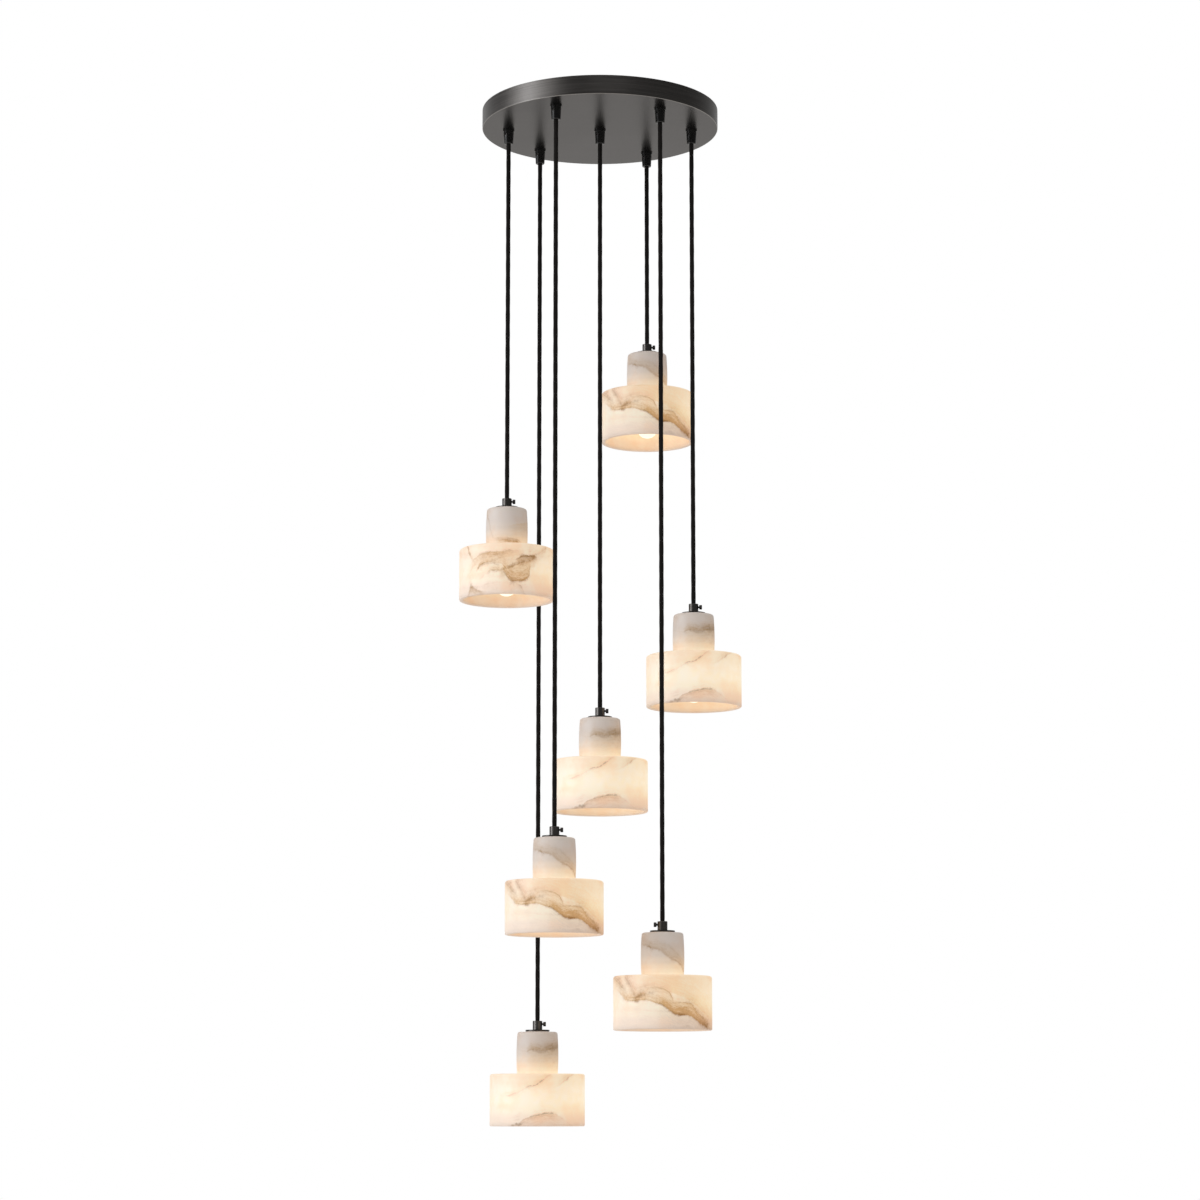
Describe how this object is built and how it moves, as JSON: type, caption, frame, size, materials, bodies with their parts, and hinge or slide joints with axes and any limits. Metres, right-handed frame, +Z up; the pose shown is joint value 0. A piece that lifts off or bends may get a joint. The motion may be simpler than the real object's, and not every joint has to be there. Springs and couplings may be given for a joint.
{
  "type": "cluster pendant light",
  "caption": "Round flat ceiling canopy carrying a spiral of necked stone drum shades on black fabric cords of stepped lengths.",
  "frame": {"origin": "centre of the ceiling plane that the canopy closes against, at the top of the mounting bar", "axes": "+Z up into the ceiling, -Z along the hanging cords, +X along the mounting bar to the picture's right, -Y towards the picture's camera"},
  "size_m": [0.41, 0.3741, 1.4925],
  "materials": {
    "canopy": "brushed dark bronze-grey",
    "zinc_steel": "zinc plated",
    "grip_black": "gloss black",
    "block_white": "matte",
    "cord_black": "woven",
    "gunmetal": "satin",
    "knob_gunmetal": "satin",
    "alabaster": "honed",
    "holder_black": "matte",
    "lamp_frosted": "frosted",
    "brass": "bright"
  },
  "bodies": {
    "canopy": {"canopy_cover": "canopy", "mounting_bar": "zinc_steel", "canopy_side_screws": "gunmetal", "earth_screw": "brass", "cord_grips": "grip_black", "grip_screws": "knob_gunmetal", "grip_nipples": "zinc_steel", "grip_lock_nuts": "zinc_steel", "terminal_block": "block_white", "terminal_screws": "brass", "cord_tails": "cord_black"},
    "pendant_1": {"cord_1": "cord_black", "cord_cap_1": "gunmetal", "neck_clamp_1": "gunmetal", "shade_1": "alabaster", "lamp_holder_1": "holder_black"},
    "pendant_2": {"cord_2": "cord_black", "cord_cap_2": "gunmetal", "neck_clamp_2": "gunmetal", "shade_2": "alabaster", "lamp_holder_2": "holder_black"},
    "pendant_3": {"cord_3": "cord_black", "cord_cap_3": "gunmetal", "neck_clamp_3": "gunmetal", "shade_3": "alabaster", "lamp_holder_3": "holder_black"},
    "pendant_4": {"cord_4": "cord_black", "cord_cap_4": "gunmetal", "neck_clamp_4": "gunmetal", "shade_4": "alabaster", "lamp_holder_4": "holder_black"},
    "pendant_5": {"cord_5": "cord_black", "cord_cap_5": "gunmetal", "neck_clamp_5": "gunmetal", "shade_5": "alabaster", "lamp_holder_5": "holder_black"},
    "pendant_6": {"cord_6": "cord_black", "cord_cap_6": "gunmetal", "neck_clamp_6": "gunmetal", "shade_6": "alabaster", "lamp_holder_6": "holder_black"},
    "pendant_7": {"cord_7": "cord_black", "cord_cap_7": "gunmetal", "neck_clamp_7": "gunmetal", "shade_7": "alabaster", "lamp_holder_7": "holder_black"},
    "pendant_1_lamp": {"lamp_1": "lamp_frosted"},
    "pendant_2_lamp": {"lamp_2": "lamp_frosted"},
    "pendant_3_lamp": {"lamp_3": "lamp_frosted"},
    "pendant_4_lamp": {"lamp_4": "lamp_frosted"},
    "pendant_5_lamp": {"lamp_5": "lamp_frosted"},
    "pendant_6_lamp": {"lamp_6": "lamp_frosted"},
    "pendant_7_lamp": {"lamp_7": "lamp_frosted"},
    "pendant_1_thumbscrew": {"thumbscrew_1": "knob_gunmetal"},
    "pendant_2_thumbscrew": {"thumbscrew_2": "knob_gunmetal"},
    "pendant_3_thumbscrew": {"thumbscrew_3": "knob_gunmetal"},
    "pendant_4_thumbscrew": {"thumbscrew_4": "knob_gunmetal"},
    "pendant_5_thumbscrew": {"thumbscrew_5": "knob_gunmetal"},
    "pendant_6_thumbscrew": {"thumbscrew_6": "knob_gunmetal"},
    "pendant_7_thumbscrew": {"thumbscrew_7": "knob_gunmetal"}
  },
  "joints": [
    {"name": "cord_1_swing", "type": "hinge", "parent": "canopy", "child": "pendant_1", "pos_m": [0.07106, 0.11596, -0.05], "axis": [0.8526, -0.5225, 0], "range_deg": [-2, 20]},
    {"name": "cord_2_swing", "type": "hinge", "parent": "canopy", "child": "pendant_2", "pos_m": [-0.136, 0, -0.05], "axis": [0, 1, 0], "range_deg": [-2, 20]},
    {"name": "cord_3_swing", "type": "hinge", "parent": "canopy", "child": "pendant_3", "pos_m": [0.136, 0, -0.05], "axis": [0, -1, 0], "range_deg": [-2, 20]},
    {"name": "cord_4_swing", "type": "hinge", "parent": "canopy", "child": "pendant_4", "pos_m": [0, 0, -0.05], "axis": [-1, 0, 0], "range_deg": [-2, 2]},
    {"name": "cord_5_swing", "type": "hinge", "parent": "canopy", "child": "pendant_5", "pos_m": [-0.06385, -0.12008, -0.05], "axis": [-0.8829, 0.4695, 0], "range_deg": [-2, 20]},
    {"name": "cord_6_swing", "type": "hinge", "parent": "canopy", "child": "pendant_6", "pos_m": [0.08742, -0.10418, -0.05], "axis": [-0.766, -0.6428, 0], "range_deg": [-2, 20]},
    {"name": "cord_7_swing", "type": "hinge", "parent": "canopy", "child": "pendant_7", "pos_m": [-0.091, 0.10107, -0.05], "axis": [0.7431, 0.6691, 0], "range_deg": [-2, 20]},
    {"name": "lamp_1_unscrew", "type": "slide", "parent": "pendant_1", "child": "pendant_1_lamp", "axis": [0, 0, -1], "range_m": [0, 0.13]},
    {"name": "lamp_2_unscrew", "type": "slide", "parent": "pendant_2", "child": "pendant_2_lamp", "axis": [0, 0, -1], "range_m": [0, 0.13]},
    {"name": "lamp_3_unscrew", "type": "slide", "parent": "pendant_3", "child": "pendant_3_lamp", "axis": [0, 0, -1], "range_m": [0, 0.13]},
    {"name": "lamp_4_unscrew", "type": "slide", "parent": "pendant_4", "child": "pendant_4_lamp", "axis": [0, 0, -1], "range_m": [0, 0.13]},
    {"name": "lamp_5_unscrew", "type": "slide", "parent": "pendant_5", "child": "pendant_5_lamp", "axis": [0, 0, -1], "range_m": [0, 0.13]},
    {"name": "lamp_6_unscrew", "type": "slide", "parent": "pendant_6", "child": "pendant_6_lamp", "axis": [0, 0, -1], "range_m": [0, 0.13]},
    {"name": "lamp_7_unscrew", "type": "slide", "parent": "pendant_7", "child": "pendant_7_lamp", "axis": [0, 0, -1], "range_m": [0, 0.13]},
    {"name": "thumbscrew_1_slacken", "type": "slide", "parent": "pendant_1", "child": "pendant_1_thumbscrew", "axis": [1, 0, 0], "range_m": [0, 0.002]},
    {"name": "thumbscrew_2_slacken", "type": "slide", "parent": "pendant_2", "child": "pendant_2_thumbscrew", "axis": [1, 0, 0], "range_m": [0, 0.002]},
    {"name": "thumbscrew_3_slacken", "type": "slide", "parent": "pendant_3", "child": "pendant_3_thumbscrew", "axis": [1, 0, 0], "range_m": [0, 0.002]},
    {"name": "thumbscrew_4_slacken", "type": "slide", "parent": "pendant_4", "child": "pendant_4_thumbscrew", "axis": [1, 0, 0], "range_m": [0, 0.002]},
    {"name": "thumbscrew_5_slacken", "type": "slide", "parent": "pendant_5", "child": "pendant_5_thumbscrew", "axis": [1, 0, 0], "range_m": [0, 0.002]},
    {"name": "thumbscrew_6_slacken", "type": "slide", "parent": "pendant_6", "child": "pendant_6_thumbscrew", "axis": [-1, 0, 0], "range_m": [0, 0.002]},
    {"name": "thumbscrew_7_slacken", "type": "slide", "parent": "pendant_7", "child": "pendant_7_thumbscrew", "axis": [1, 0, 0], "range_m": [0, 0.002]}
  ]
}
